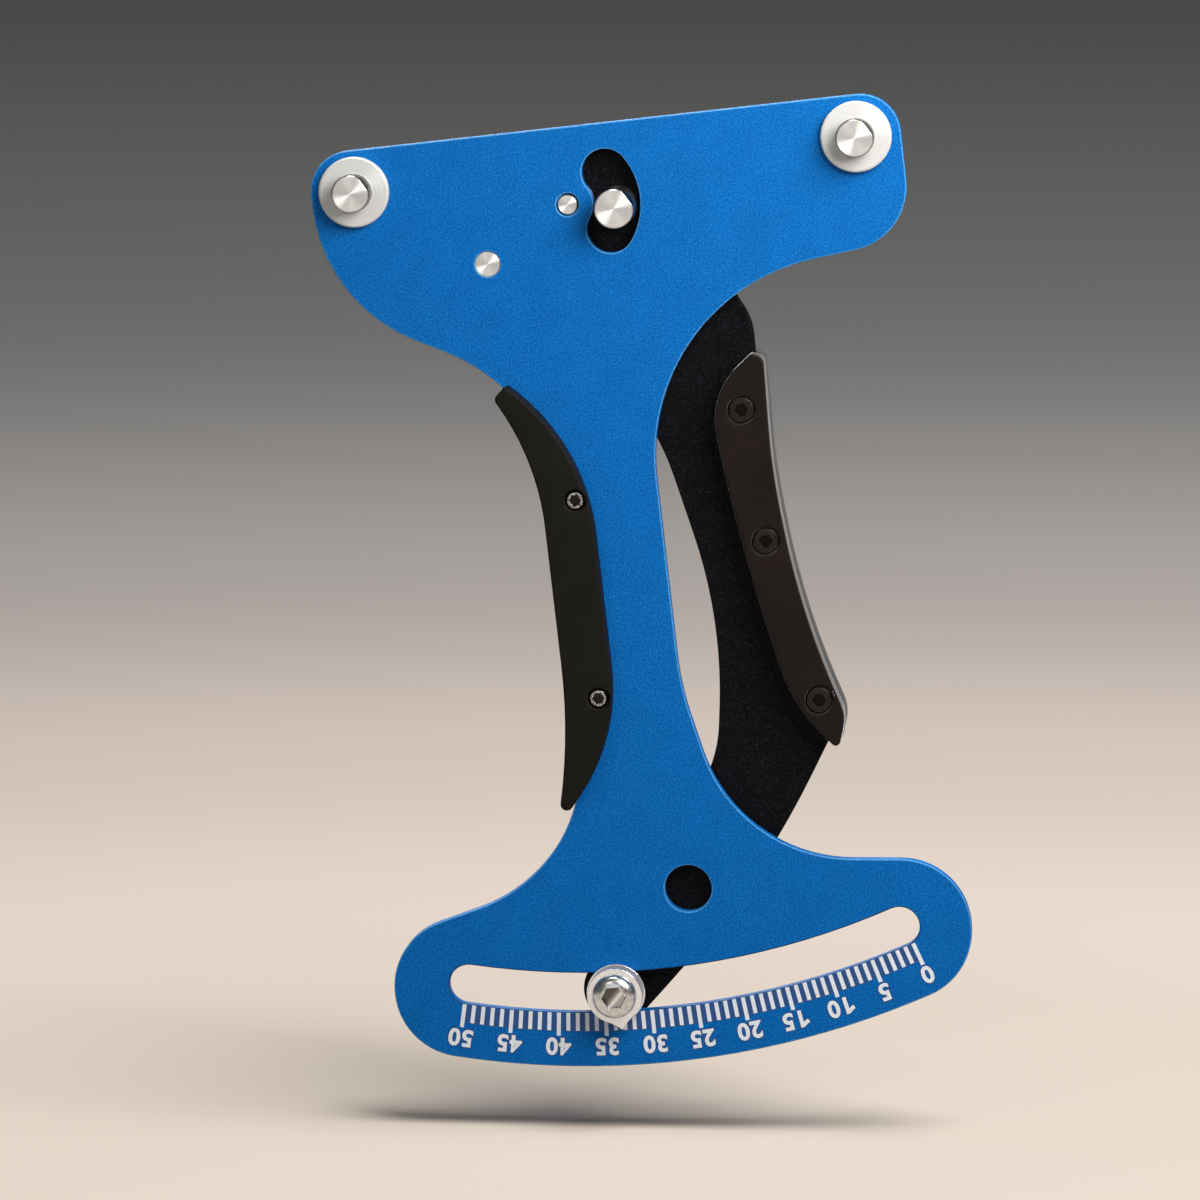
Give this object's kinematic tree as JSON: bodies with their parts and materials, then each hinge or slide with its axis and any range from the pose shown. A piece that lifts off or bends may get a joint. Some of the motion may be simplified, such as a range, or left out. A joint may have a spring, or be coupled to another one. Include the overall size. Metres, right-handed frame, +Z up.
{
  "type": "spoke comparison gauge",
  "caption": "Flat hand gauge with a sprung lever: fixed posts and a moving post bend a wire spoke, squeeze grips open it, and a pointer runs along an arc scale.",
  "frame": {"origin": "midway between the axes of the two fixed posts, on the front face of the body plate", "axes": "+X along the post line to the right post, +Y from the front face to the back, +Z up from the scale to the posts"},
  "size_m": [0.1351, 0.0231, 0.212],
  "materials": {
    "blue_coat": "blue powder coat with a fine speckle",
    "black_coat": "black powder coat with fine metallic specks",
    "turned_metal": "turned, bright",
    "plated_steel": "bright zinc plate",
    "black_steel": "black oxide",
    "spring_wire": "drawn wire",
    "bronze": "plain bearing bronze",
    "slip_plastic": "natural nylon",
    "grip_plastic": "fine moulded grain"
  },
  "bodies": {
    "body": {"body_plate": "blue_coat", "left_post": "turned_metal", "right_post": "turned_metal", "pivot_pin": "turned_metal", "pivot_spacer": "slip_plastic", "pivot_washer": "plated_steel", "pivot_clip": "black_steel", "spring_anchor_pin": "turned_metal", "body_grip_front": "grip_plastic", "body_grip_back": "grip_plastic", "body_grip_screws": "plated_steel", "body_grip_nuts": "plated_steel", "gauge_spring": "spring_wire"},
    "lever": {"lever_plate": "black_coat", "lever_bush": "bronze", "moving_post": "turned_metal", "lever_spring_pin": "turned_metal", "lever_grip_front": "grip_plastic", "lever_grip_back": "grip_plastic", "lever_grip_screws": "black_steel", "lever_grip_nuts": "plated_steel", "pointer": "plated_steel", "pointer_screw": "plated_steel", "pointer_washer": "plated_steel", "pointer_spacer": "plated_steel", "pointer_nut": "plated_steel"}
  },
  "joints": [
    {"name": "lever_pivot", "type": "hinge", "parent": "body", "child": "lever", "pos_m": [-0.0092, 0.0055, -0.008], "axis": [0, 1, 0], "range_deg": [-21, 10.7], "stiffness_Nm_per_rad": 0.6, "springref_deg": -2.41, "deforming": ["gauge_spring"]}
  ]
}
